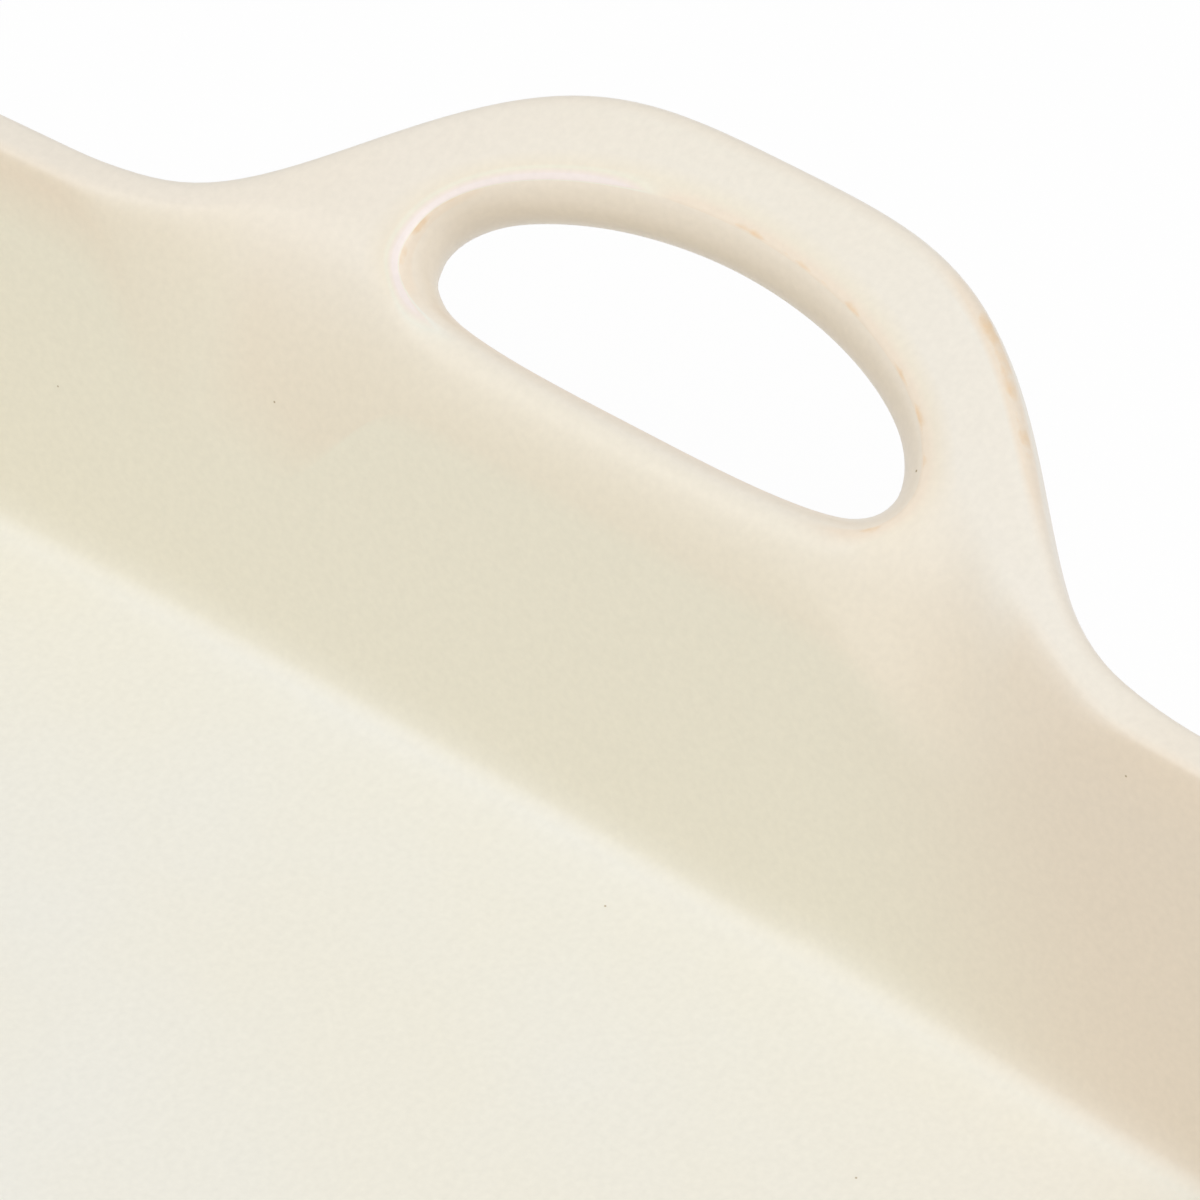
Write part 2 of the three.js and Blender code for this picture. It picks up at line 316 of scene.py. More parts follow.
@dataclass(frozen=True)
class GripHole:
    """The hole for the fingers: an arch over a sill, measured up the lug's face from the rim's inner edge.

    It is narrowest at a depth inside the plate. Its lip is the crisp line where the bore meets the face,
    which sinks towards it over a narrow shoulder.

    Attributes:
        half_width: Half the width of the narrowest loop.
        centre: Climb of the line where arch and sill meet.
        above: Height of the arch over that line.
        below: Depth of the sill under it.
        arch_power: How full the arch is: 2 for an ellipse, and more for a squarer form.
        sill_power: The same for the sill.
        lean: How far the arch leans towards the lug's soft end.
        end_swells: What the narrowest loop swells by at that end: height, and middle and spread in degrees.
        middle_depth: How deep in the plate the narrowest loop lies.
        lip: How far the lip lies outside that loop.
        lip_depth: How far the lip is sunk below the face.
        shoulder: Distance from the lip where the face starts to sink.
        back_lip: How far the arch has flared at the lug's back.
        front_turn: Angle that the bore's round takes up before the narrowest loop.
        back_turn: Angle that it takes up behind it.
        sill_ends: How low on the loop the sill's own section starts, and where it is full.
    """

    half_width: float = 0.028
    centre: float = 0.0107
    above: float = 0.0133
    below: float = 0.006
    arch_power: float = 1.93
    sill_power: float = 3.15
    lean: float = 0.0012
    end_swells: tuple[tuple[float, float, float], ...] = ((0.0016, 23.0, 18.0), (-0.0010, -22.0, 15.0))
    middle_depth: float = 0.0052
    lip: float = 0.0031
    lip_depth: float = 0.0006
    shoulder: float = 0.0042
    back_lip: float = 0.0045
    front_turn: float = math.radians(52)
    back_turn: float = math.radians(70)
    sill_ends: tuple[float, float] = (0.45, 0.9)

    def at(self, angle: float, grown: float) -> tuple[float, float]:
        """A point of the hole's loop, or of a loop that is grown all round.

        Args:
            angle: Angle round the loop, from its soft end over the arch.
            grown: How far the loop lies outside the narrowest one.

        Returns:
            Distance along the side, and climb up the lug's face.
        """
        x, y = math.cos(angle), math.sin(angle)
        height, power = (self.above, self.arch_power) if y >= 0 else (self.below, self.sill_power)
        along = (self.half_width + grown) * math.copysign(abs(x) ** (2 / power), x)
        along += self.lean * max(y, 0.0) + self.end_shift(angle) * max(1 - grown / self.lip, 0.0)
        climb = (height + grown) * math.copysign(abs(y) ** (2 / power), y)
        return along, self.centre + climb

    def end_shift(self, angle: float) -> float:
        """How far the narrowest loop swells at its soft end: out low on the arch, and in at the sill."""
        turned = math.degrees(math.remainder(angle, 2 * math.pi))
        swells = (
            height * math.exp(-(((turned - middle) / spread) ** 2) / 2)
            for height, middle, spread in self.end_swells
        )
        return sum(swells)

    def sill(self, angle: float) -> float:
        """How much a point of the loop belongs to the sill, from 0 to 1."""
        return eased(-math.sin(angle), *self.sill_ends)

    def sink(self, beyond: float) -> float:
        """How deep the shoulder lies below the face, at a distance beyond the lip."""
        return self.lip_depth * max(1 - beyond / self.shoulder, 0.0) ** 2

    def angles(self, half_count: int) -> list[float]:
        """Angles that stand at even steps along the arch, then along the sill.

        Args:
            half_count: Steps over the arch, and again along the sill.

        Returns:
            Twice that many angles, from the soft end.
        """
        made: list[float] = []
        for half in (0, 1):
            samples = [math.pi * (half + i / LOOP_SAMPLES) for i in range(LOOP_SAMPLES + 1)]
            points = [Vector(self.at(angle, self.lip / 2)) for angle in samples]
            lengths = [0.0]
            for start, end in zip(points, points[1:]):
                lengths.append(lengths[-1] + (end - start).length)
            reached = 0
            for step in range(half_count):
                while lengths[reached + 1] < lengths[-1] * step / half_count:
                    reached += 1
                made.append(samples[reached])
        return made


@dataclass(frozen=True)
class Flank:
    """How the wall runs up into the lug's face beside the hole.

    Attributes:
        swell: How far up the face the ridge between wall and face lies, beside the hole.
        fall: Length of the ridge's round down the wall.
        climb: Length of the ridge's round up the face.
        rise: Shares of the lug's half span where the ridge starts to climb the face and where it has.
        start: Shares of the half span where the flank's round starts to show and where it is full.
        end: Shares of the half span where it starts to fade and where it has ended.
        growth: How late the rim's small round grows into the flank's, as a power of the lug's turn.
        run_down: How fast the ridge runs down to the lug's end, as a power.
    """

    swell: float
    fall: float
    climb: float
    rise: tuple[float, float]
    start: tuple[float, float]
    end: tuple[float, float]
    growth: float
    run_down: float = 1.5

    def weight(self, share: float) -> float:
        """How much a place belongs to the flank, by its share of the half span."""
        return eased(share, *self.start) * (1 - eased(share, *self.end))

    def swell_at(self, share: float) -> float:
        """How far up the face the ridge lies: it rises beside the hole and runs down to the lug's end."""
        low, high = self.rise
        left = min(max((self.end[1] - share) / (self.end[1] - high), 0.0), 1.0)
        return self.swell * eased(share, low, high) * left ** self.run_down


@dataclass(frozen=True)
class LugHandle:
    """A handle: a tilted plate that grows out of the rim and is pierced by the grip hole.

    Attributes:
        half_span: Half its length along the side.
        wall: The wall that it grows out of.
        hole: Its grip hole.
        reach: How far its face reaches up from the ridge between wall and face.
        thickness: Thickness of its plate at the front edge.
        root_drop: How far below the rim its back meets the wall, in its middle.
        end_root_drop: The same at its ends.
        tilt: Angle of its face from the vertical.
        front_round: Round on the front edge of its face.
        back_round: Round on its back edge.
        root_round: Round where its back meets the wall.
        ridge_round: Round on the ridge, away from the flanks.
        ridge_share: Share of the face that this round may take up.
        soft_flank: Its flank at the soft end, where distances along the side are above zero.
        crisp_flank: Its flank at the other end.
        outline_powers: Spread and ease of its outline.
        tilt_powers: Spread and ease of its turn out of the rim.
    """

    half_span: float
    wall: WallSection
    hole: GripHole = GripHole()
    reach: float = 0.0358
    thickness: float = 0.0096
    root_drop: float = 0.0125
    end_root_drop: float = 0.028
    tilt: float = math.radians(62.4)
    front_round: float = 0.0024
    back_round: float = 0.004
    root_round: float = 0.005
    ridge_round: float = 0.010
    ridge_share: float = 0.7
    soft_flank: Flank = Flank(
        swell=0.0, fall=0.026, climb=0.010,
        rise=(0.38, 0.58), start=(0.38, 0.58), end=(0.78, 0.97), growth=1.6,
    )
    crisp_flank: Flank = Flank(
        swell=0.0080, fall=0.018, climb=0.003,
        rise=(0.40, 0.52), start=(0.45, 0.70), end=(0.74, 0.93), growth=4.0,
    )
    outline_powers: tuple[float, float] = (3.64, 4.63)
    tilt_powers: tuple[float, float] = (9.3, 1.5)

    def bump(self, along: float, powers: tuple[float, float]) -> float:
        """A smooth rise from 0 at the lug's ends to 1 in its middle."""
        spread, ease = powers
        return (1 - min(abs(along) / self.half_span, 1.0) ** spread) ** ease

    def lift(self, along: float) -> float:
        """How far the section has turned from the plain rim to the lug's full tilt."""
        return self.bump(along, self.tilt_powers)

    def tilt_at(self, along: float) -> float:
        """Angle of the lug's face from the vertical."""
        return mixed(math.pi / 2, self.tilt, self.lift(along))

    def reach_at(self, along: float) -> float:
        """Distance from the ridge to the lug's front edge, up its face."""
        return mixed(self.wall.rim_width, self.reach, self.bump(along, self.outline_powers))

    def on_face(self, along: float, climb: float, depth: float) -> Vector:
        """A point at a climb up the lug's flat face and a depth behind it."""
        tilt = self.tilt_at(along)
        out = climb * math.sin(tilt) + depth * math.cos(tilt)
        return Vector((out, self.wall.rim_top + climb * math.cos(tilt) - depth * math.sin(tilt)))

    def corners(self, along: float) -> dict[Bend, Vector]:
        """The section's corners at a distance along the side. The lug's ends have the wall's own section."""
        lift = self.lift(along)
        fall = mixed(math.pi / 2 + self.wall.outer_draft, self.tilt, lift)
        front = self.on_face(along, self.reach_at(along), 0.0)
        back = front + Vector((math.cos(fall), -math.sin(fall))) * self.thickness
        return {
            Bend.FLOOR: self.wall.floor_edge,
            Bend.RIDGE: self.on_face(along, self.swell(along), 0.0),
            Bend.FRONT: front,
            Bend.BACK: back,
            Bend.ROOT: self.wall.outer(mixed(self.end_root_drop, self.root_drop, lift)),
            Bend.BASE: self.wall.base_edge,
        }

    def flank(self, along: float) -> tuple[Flank, float]:
        """The flank at one end of the lug, and how much a place belongs to it."""
        flank = self.soft_flank if along > 0 else self.crisp_flank
        return flank, flank.weight(abs(along) / self.half_span)

    def swell(self, along: float) -> float:
        """How far up the lug's face the ridge lies."""
        flank, _ = self.flank(along)
        return flank.swell_at(abs(along) / self.half_span)

    def ridge_start(self, along: float) -> Vector:
        """Where the ridge's round starts on the wall."""
        rim_edge = Vector((0.0, self.wall.rim_top))
        return towards(rim_edge, self.wall.floor_edge, self.rounds(along)[Bend.RIDGE][0])

    def rounds(self, along: float) -> dict[Bend, tuple[float, float]]:
        """Lengths that the rounds on the section's corners take up before and after the corner."""
        lift = self.lift(along)
        flank, weight = self.flank(along)
        small = self.wall.rim_inner_round
        growth = lift ** flank.growth
        fall = mixed(self.ridge_round, flank.fall, weight)
        front = mixed(self.wall.rim_outer_round, self.front_round, lift)
        room = self.reach_at(along) - front - self.swell(along)
        climb = min(mixed(self.ridge_round, flank.climb, weight), self.ridge_share * room)
        return {
            Bend.FLOOR: (self.wall.floor_round, self.wall.floor_round),
            Bend.RIDGE: (mixed(small, fall, growth), mixed(small, climb, growth)),
            Bend.FRONT: (front, front),
            Bend.BACK: (self.back_round, self.back_round),
            Bend.ROOT: (self.root_round, self.root_round),
            Bend.BASE: (self.wall.base_round, self.wall.base_round),
        }

    def line(self, along: float) -> list[Vector]:
        """The section's points, one for each ring of the net, from the floor to the foot."""
        corners = self.corners(along)
        rounds = self.rounds(along)
        places = [self.wall.floor_start, *corners.values(), self.wall.foot_outer]
        points = [self.wall.floor_start]
        run = 1
        for i, bend in enumerate(corners, start=1):
            before, after = rounds[bend]
            start = towards(places[i], places[i - 1], before)
            if bend is Bend.RIDGE:
                start = self.ridge_start(along)
            end = towards(places[i], places[i + 1], after)
            last = points[-1]
            points.extend(last.lerp(start, part / run) for part in range(1, run))
            steps, run = BEND_PARTS[bend]
            points.extend(on_round(start, places[i], end, step / steps) for step in range(steps + 1))
        last = points[-1]
        points.extend(last.lerp(self.wall.foot_outer, part / run) for part in range(1, run + 1))
        return points

    def face_limits(self, along: float) -> tuple[float, float, float]:
        """Climbs where the ridge's round starts on the wall and ends on the face, and where the face ends."""
        rounds = self.rounds(along)
        fall, climb = rounds[Bend.RIDGE]
        return -fall, self.swell(along) + climb, self.reach_at(along) - rounds[Bend.FRONT][0]

    def face_point(self, along: float, climb: float) -> Vector:
        """A point of the ridge's round or of the face, at a climb that starts below zero on the wall."""
        start, end, _ = self.face_limits(along)
        if climb >= end:
            return self.on_face(along, climb, 0.0)
        ridge = self.on_face(along, self.swell(along), 0.0)
        low = self.ridge_start(along)
        high = self.on_face(along, end, 0.0)
        return on_round(low, ridge, high, (climb - start) / (end - start))

    def face_slope(self, along: float, climb: float) -> Vector:
        """The way up the ridge's round or the face, at a climb."""
        start, end, _ = self.face_limits(along)
        lean = mixed(self.wall.inner_draft, self.tilt_at(along), min((climb - start) / (end - start), 1.0))
        return Vector((math.sin(lean), math.cos(lean)))

    def row_climb(self, along: float, row: int) -> float:
        """The climb of one of the net's rows, counted from the ridge's round up the face."""
        start, end, top = self.face_limits(along)
        round_rows, face_rows = BEND_PARTS[Bend.RIDGE]
        if row <= round_rows:
            return mixed(start, end, row / round_rows)
        return mixed(end, top, (row - round_rows) / face_rows)

    def inwards(self, along: float) -> Vector:
        """The way into the plate, square to its face."""
        tilt = self.tilt_at(along)
        return Vector((math.cos(tilt), -math.sin(tilt)))

    def beside_hole(self, angle: float, beyond: float) -> tuple[float, Vector]:
        """A point of the face at an angle round the hole and a distance beyond its lip.

        Args:
            angle: Angle round the hole.
            beyond: Distance from the lip, away from the hole.

        Returns:
            Distance along the side, and the section's point.
        """
        along, climb = self.hole.at(angle, self.hole.lip + beyond)
        return along, self.face_point(along, climb) + self.inwards(along) * self.hole.sink(beyond)

    def in_bore(self, angle: float, share: float) -> tuple[float, Vector]:
        """A point of the bore at an angle round it and a share of the way from its narrowest loop to its lip.

        Args:
            angle: Angle round the hole.
            share: 0 at the narrowest loop and 1 at the lip.

        Returns:
            Distance along the side, and the section's point.
        """
        hole = self.hole
        turn = share * hole.front_turn
        rise = math.sin(turn) / math.sin(hole.front_turn)
        along, climb = hole.at(angle, hole.lip * (1 - math.cos(turn)) / (1 - math.cos(hole.front_turn)))
        lip_along, lip = self.beside_hole(angle, 0.0)
        flat_lip = self.on_face(lip_along, hole.at(angle, hole.lip)[1], 0.0)
        flat_rise = self.on_face(along, climb, hole.middle_depth * (1 - rise))
        return along, flat_rise + (lip - flat_lip) * rise

    def behind_bore(self, angle: float, share: float) -> tuple[float, Vector]:
        """A point of the bore behind its narrowest loop. The sill runs straight back, the arch flares.

        Args:
            angle: Angle round the hole.
            share: 0 at the narrowest loop and 1 at the lug's back.

        Returns:
            Distance along the side, and the section's point.
        """
        hole = self.hole
        turn = share * hole.back_turn
        spread = hole.back_lip * (1 - hole.sill(angle))
        along, climb = hole.at(angle, spread * (1 - math.cos(turn)) / (1 - math.cos(hole.back_turn)))
        start = self.on_face(along, climb, hole.middle_depth)
        end = self.back_point(along, self.back_share(along, climb))
        return along, start.lerp(end, math.sin(turn) / math.sin(hole.back_turn))

    def back_point(self, along: float, share: float) -> Vector:
        """A point of the lug's back, at a share of the way from its root to its back edge."""
        corners = self.corners(along)
        return corners[Bend.ROOT].lerp(corners[Bend.BACK], share)

    def back_limits(self, along: float) -> tuple[float, float]:
        """Shares of the lug's back where the root's round ends and where the back edge's round starts."""
        corners = self.corners(along)
        rounds = self.rounds(along)
        length = (corners[Bend.BACK] - corners[Bend.ROOT]).length
        return rounds[Bend.ROOT][1] / length, 1 - rounds[Bend.BACK][1] / length

    def back_share(self, along: float, climb: float) -> float:
        """The share of the lug's back that lies behind a climb up its face."""
        tilt = self.tilt_at(along)
        way = Vector((math.sin(tilt), math.cos(tilt)))
        corners = self.corners(along)
        ridge = corners[Bend.RIDGE]
        low = (corners[Bend.ROOT] - ridge).dot(way)
        high = (corners[Bend.BACK] - ridge).dot(way)
        return (climb - low) / (high - low)


def clear_selection() -> None:
    """Leaves object mode with nothing selected."""
    if bpy.context.object is not None and bpy.context.object.mode != "OBJECT":
        bpy.ops.object.mode_set(mode="OBJECT")
    bpy.ops.object.select_all(action="DESELECT")


def edited() -> bmesh.types.BMesh:
    """The mesh of the active object, in edit mode."""
    return bmesh.from_edit_mesh(bpy.context.object.data)


def deselect(net: bmesh.types.BMesh) -> None:
    """Leaves nothing of a mesh selected."""
    for element in (*net.faces, *net.edges, *net.verts):
        element.select = False


def named_object(name: str) -> bpy.types.Object:
    """Names the object that was just added, and its mesh."""
    made = bpy.context.object
    made.name = name
    made.data.name = name
    return made


def applied(piece: bpy.types.Object, kind: str, **settings: object) -> None:
    """Puts a modifier on a piece and applies it.

    Args:
        piece: The piece, active in object mode.
        kind: The modifier's type.
        settings: Its settings by name.
    """
    modifier = piece.modifiers.new(kind.title(), kind)
    for name, value in settings.items():
        setattr(modifier, name, value)
    bpy.ops.object.modifier_apply(modifier=modifier.name)


class LipStep(NamedTuple):
    """A loop on the shoulder round the hole.

    Attributes:
        beyond: Its distance from the lip over the arch.
        sill_beyond: Its distance from the lip along the sill.
        roll: How much of the lip's mark lies on it: a painted highlight at the soft end, thin glaze at the
            crisp end.
        painted_shade: How much painted shade lies on it.
    """

    beyond: float
    sill_beyond: float
    roll: float
    painted_shade: float


class BoreStep(NamedTuple):
    """A loop in the hole.

    Attributes:
        share: Its place under the arch, from 1 at the lip to 0 at the narrowest loop.
        sill_share: Its place on the sill.
        sill_thin: How thin the glaze lies on the sill.
        broken: How much the glaze breaks at the soft end.
    """

    share: float
    sill_share: float
    sill_thin: float
    broken: float


@dataclass
class GlazedDish:
    """The dish as the eye meets it: one coat of glaze over floor, walls, rim and both handles.

    A thinness says how thin the glaze is drawn, as in a spot. A pair of ends holds the distances along the
    side where something starts and where it is full.

    Attributes:
        plan: The dish seen from above.
        lug: Its handles.
        hole_columns: Columns of the net, on each side of the lug's middle, that the hole's loops replace.
        face_shares: Places of the loops on the lug's face, as shares of the way out from the shoulder.
        lip_steps: The loops on the shoulder.
        bore_steps: The loops in the hole, down to the narrowest.
        behind_shares: Places of the loops behind the narrowest one.
        back_shares: Places of the loops on the lug's back.
        lip_highlight_and_thin: Thinness of the lip: below 0 at the soft end, where a white highlight is
            painted, and at the crisp end.
        lip_break: Thinness of the bore's edge where the glaze breaks.
        edge_break: Thinness of the lug's front edge where the glaze breaks.
        smoothing: Levels of smoothing.
        lines: The section of each column, once built.
    """

    plan: DishPlan
    lug: LugHandle
    hole_columns: int = 16
    face_shares: tuple[float, ...] = (0.67, 0.33)
    lip_steps: tuple[LipStep, ...] = (
        LipStep(0.0034, 0.0045, 0.0, 0.0),
        LipStep(0.0014, 0.0026, 0.0, 1.0),
        LipStep(0.0005, 0.0013, 0.5, 1.0),
        LipStep(0.0, 0.0, 1.0, 1.0),
    )
    bore_steps: tuple[BoreStep, ...] = (
        BoreStep(0.96, 0.8, 0.25, 1.0),
        BoreStep(0.9, 0.6, 0.3, 1.0),
        BoreStep(0.78, 0.4, 0.5, 0.0),
        BoreStep(0.4, 0.2, 0.7, 0.0),
        BoreStep(0.0, 0.0, 0.5, 0.0),
    )
    behind_shares: tuple[float, ...] = (0.4, 0.75, 1.0)
    back_shares: tuple[float, ...] = (0.3, 0.65, 1.0)
    face_thinness: tuple[float, float] = (0.18, 0.28)
    face_thinness_ends: tuple[float, float] = (0.005, 0.050)
    bore_thinness: float = 0.35
    rim_thinness: float = 0.28
    wall_top_thinness: float = 0.45
    # Below 0 a white highlight is painted on the lip; above 0 its glaze is drawn thin.
    lip_highlight_and_thin: tuple[float, float] = (-1.2, 0.8)
    lip_highlight_ends: tuple[float, float] = (-0.018, -0.006)
    lip_break: float = 0.9
    lip_break_ends: tuple[float, float] = (0.026, 0.031)
    edge_break: float = 0.9
    edge_break_start: tuple[float, float] = (0.018, 0.030)
    edge_break_end: tuple[float, float] = (0.036, 0.046)
    smoothing: int = 1
    lines: list[list[Vector]] = field(default_factory=list)

    def build(self) -> bpy.types.Object:
        """Models the dish.

        Returns:
            The finished piece.
        """
        self.lines = [self.lug.line(column.from_lug) for column in self.plan.columns]
        piece = self.add_floor()
        self.draw_walls()
        for side in Side:
            if side.carries_lug:
                self.open_lug(side)
        for side in Side:
            if side.carries_lug:
                self.line_hole(side)
        self.weld()
        self.close_base()
        self.finish(piece)
        return piece

    def laid(self, column: Column, point: Vector) -> Vector:
        """The place of a section's point at a column. A lug's sections are square to its side."""
        square = column.side.turned(Vector((1.0, 0.0)))
        way = column.normal.lerp(square, self.lug.lift(column.from_lug)).normalized()
        flat = column.place + way * point.x
        return Vector((flat.x, flat.y, point.y))

    def net_point(self, column: int, ring: int) -> Vector:
        """The place of a vertex of the net."""
        return self.laid(self.plan.columns[column], self.lines[column][ring])

    def net_slope_shade(self, column: int, ring: int) -> float:
        """How much painted shade a vertex of the net gets."""
        line = self.lines[column]
        return slope_shade(line[min(ring + 1, len(line) - 1)] - line[max(ring - 1, 0)])

    def add_floor(self) -> bpy.types.Object:
        """Adds the flat floor as a grid with bowed sides and leaves its edge selected.

        Returns:
            The dish's object, in edit mode.
        """
        across = self.plan.count(Side.FRONT)
        along = self.plan.count(Side.RIGHT)
        clear_selection()
        bpy.ops.mesh.primitive_grid_add(x_subdivisions=across, y_subdivisions=along, size=1.0)
        piece = named_object("glazed_dish")
        bpy.ops.object.mode_set(mode="EDIT")
        net = edited()
        column_layer = net.verts.layers.int.new(COLUMN_LAYER)
        ring_layer = net.verts.layers.int.new(RING_LAYER)
        net.verts.layers.float.new(THIN_AND_HIGHLIGHT_LAYER)
        net.verts.layers.float.new(PAINTED_SHADE_LAYER)
        right = self.plan.first(Side.RIGHT)
        back = self.plan.first(Side.BACK)
        left = self.plan.first(Side.LEFT)
        front = self.plan.first(Side.FRONT)
        total = len(self.plan.columns)
        for vertex in net.verts:
            i = round((vertex.co.x + 0.5) * across)
            j = round((vertex.co.y + 0.5) * along)
            edges = {
                right + j: i == across, back + across - i: j == along,
                left + along - j: i == 0, front + i: j == 0,
            }
            u, v = i / across, j / along
            low, high = self.net_point((front + i) % total, 0), self.net_point(back + across - i, 0)
            near, far = self.net_point((left + along - j) % total, 0), self.net_point(right + j, 0)
            corners = [self.net_point(first, 0) for first in (front, right, left, back)]
            sides = low.lerp(high, v) + near.lerp(far, u)
            vertex.co = sides - corners[0].lerp(corners[1], u).lerp(corners[2].lerp(corners[3], u), v)
            vertex[column_layer] = next((column % total for column, on_edge in edges.items() if on_edge), -1)
            vertex[ring_layer] = 0
        self.select_edges(net, lambda edge: edge.is_boundary)
        bmesh.update_edit_mesh(piece.data)
        return piece

    def select_edges(self, net: bmesh.types.BMesh, wanted: Callable[[bmesh.types.BMEdge], bool]) -> None:
        """Selects the edges that a test picks, and nothing else."""
        bpy.context.tool_settings.mesh_select_mode = (False, True, False)
        deselect(net)
        for edge in net.edges:
            if wanted(edge):
                edge.select_set(True)
        net.select_flush_mode()

    def extrude_onto(self, lay: Callable[[bmesh.types.BMVert], Placed]) -> None:
        """Extrudes the selected loop and lays the new one.

        Args:
            lay: Gives a vertex's place, how thin its glaze is and how much painted shade it gets.
        """
        bpy.ops.mesh.extrude_edges_move()
        mesh = bpy.context.object.data
        net = edited()
        thin = net.verts.layers.float[THIN_AND_HIGHLIGHT_LAYER]
        shade_share = net.verts.layers.float[PAINTED_SHADE_LAYER]
        for vertex in net.verts:
            if vertex.select:
                vertex.co, vertex[thin], vertex[shade_share] = lay(vertex)
        bmesh.update_edit_mesh(mesh)

    def face_thin(self, along: float) -> float:
        """How thin the glaze lies on the lug's face, thinner towards one end."""
        return mixed(*self.face_thinness, eased(along, *self.face_thinness_ends))

    def ring_thinness(self, ring: int, from_lug: float) -> float:
        """How thin the glaze lies on a ring. It draws back from the rim and one end of the lug's edge."""
        lift = self.lug.lift(from_lug)
        if first_ring(Bend.FRONT) < ring < last_ring(Bend.FRONT):
            broken = eased(-from_lug, *self.edge_break_start) * (1 - eased(-from_lug, *self.edge_break_end))
            return mixed(self.rim_thinness, self.edge_break, broken)
        if first_ring(Bend.RIDGE) <= ring <= first_ring(Bend.FRONT):
            low = mixed(self.wall_top_thinness, 0.0, lift)
            high = mixed(self.rim_thinness, self.face_thin(from_lug), lift)
            return mixed(low, high, min((ring - first_ring(Bend.RIDGE)) / BEND_PARTS[Bend.RIDGE][0], 1.0))
        return 0.0

    def draw_walls(self) -> None:
        """Draws the net out from the floor's edge, ring by ring, over the rim and down to the foot."""
        for ring in range(1, len(self.lines[0])):
            def lay(vertex: bmesh.types.BMVert) -> Placed:
                """Place and glaze of a vertex on this ring."""
                layers = edited().verts.layers
                vertex[layers.int[RING_LAYER]] = ring
                column = vertex[layers.int[COLUMN_LAYER]]
                thin = self.ring_thinness(ring, self.plan.columns[column].from_lug)
                return self.net_point(column, ring), thin, self.net_slope_shade(column, ring)
            self.extrude_onto(lay)

    def weld(self) -> None:
        """Joins the last loop of each hole to the edge of the opening behind it."""
        bpy.ops.mesh.select_all(action="SELECT")
        bpy.ops.mesh.remove_doubles(threshold=MERGE_DISTANCE)

    def close_base(self) -> None:
        """Closes the base inside the foot with a grid."""
        net = edited()
        self.select_edges(net, lambda edge: edge.is_boundary)
        bpy.ops.mesh.fill_grid(span=self.plan.count(Side.FRONT))

    def finish(self, piece: bpy.types.Object) -> None:
        """Smooths the dish and leaves it in object mode."""
        bpy.ops.mesh.select_all(action="SELECT")
        bpy.ops.mesh.normals_make_consistent(inside=False)
        bpy.ops.object.mode_set(mode="OBJECT")
        applied(piece, "SUBSURF", levels=self.smoothing, render_levels=self.smoothing)
        bpy.ops.object.shade_smooth()

    def open_lug(self, side: Side) -> None:
        """Takes the faces out of the lug's front and back that the hole's own loops replace."""
        mesh = bpy.context.object.data
        net = edited()
        ints = net.verts.layers.int
        middle = self.plan.middle(side)
        bands = (
            (first_ring(Bend.RIDGE), first_ring(Bend.FRONT)),
            (last_ring(Bend.BACK), first_ring(Bend.ROOT)),
        )
        bpy.context.tool_settings.mesh_select_mode = (False, False, True)
        deselect(net)
        for face in net.faces:
            columns = [vertex[ints[COLUMN_LAYER]] - middle for vertex in face.verts]
            rings = [vertex[ints[RING_LAYER]] for vertex in face.verts]
            beside = all(abs(column) <= self.hole_columns for column in columns)
            if beside and any(low <= min(rings) and max(rings) <= high for low, high in bands):
                face.select_set(True)
        bmesh.update_edit_mesh(mesh)
        bpy.ops.mesh.delete(type="FACE")

    def perimeter(self) -> list[tuple[int, int]]:
        """The opening's edge, from the soft end's middle: steps from the side's middle, and rows up."""
        rows = first_ring(Bend.FRONT) - first_ring(Bend.RIDGE)
        half = rows // 2
        end = self.hole_columns
        climb = [(end, row) for row in range(half, rows)]
        over = [(step, rows) for step in range(end, -end, -1)]
        fall = [(-end, row) for row in range(rows, 0, -1)]
        under = [(step, 0) for step in range(-end, end)]
        return climb + over + fall + under + [(end, row) for row in range(half)]

    def line_hole(self, side: Side) -> None:
        """Draws loops from the opening in the lug's face through the hole and out to the opening behind."""
        loops = self.hole_loops(side)
        perimeter = {edge: index for index, edge in enumerate(self.perimeter())}
        middle = self.plan.middle(side)
        bottom, top = first_ring(Bend.RIDGE), first_ring(Bend.FRONT)

        def on_edge(vertex: bmesh.types.BMVert, ints: bmesh.types.BMLayerAccessVert) -> tuple[int, int]:
            """A vertex's step and row on the opening's edge."""
            return vertex[ints[COLUMN_LAYER]] - middle, vertex[ints[RING_LAYER]] - bottom

        net = edited()
        ints = net.verts.layers.int
        self.select_edges(net, lambda edge: edge.is_boundary and all(
            on_edge(vertex, ints) in perimeter and vertex[ints[RING_LAYER]] <= top for vertex in edge.verts))
        bmesh.update_edit_mesh(bpy.context.object.data)
        for loop in loops:
            def lay(vertex: bmesh.types.BMVert) -> Placed:
                """Place and glaze of a vertex on this loop."""
                layers = edited().verts.layers
                return loop[perimeter[on_edge(vertex, layers.int)]]
            self.extrude_onto(lay)

    def hole_loops(self, side: Side) -> list[list[Placed]]:
        """Places and glaze on the loops of a lug's hole, from its face to its back.

        Args:
            side: The side that carries the lug.

        Returns:
            One list of places for each loop, in the order of the opening's edge.
        """
        perimeter = self.perimeter()
        angles = self.lug.hole.angles(len(perimeter) // 2)
        strands = [self.hole_strand(step, row, angle) for (step, row), angle in zip(perimeter, angles)]
        return [[self.placed(side, spot) for spot in loop] for loop in zip(*strands)]

    def placed(self, side: Side, spot: Spot) -> Placed:
        """A spot's place on a side, its glaze and its painted shade."""
        return self.laid(self.plan.beside(side, spot.along), spot.point), spot.thin, spot.slope_shade

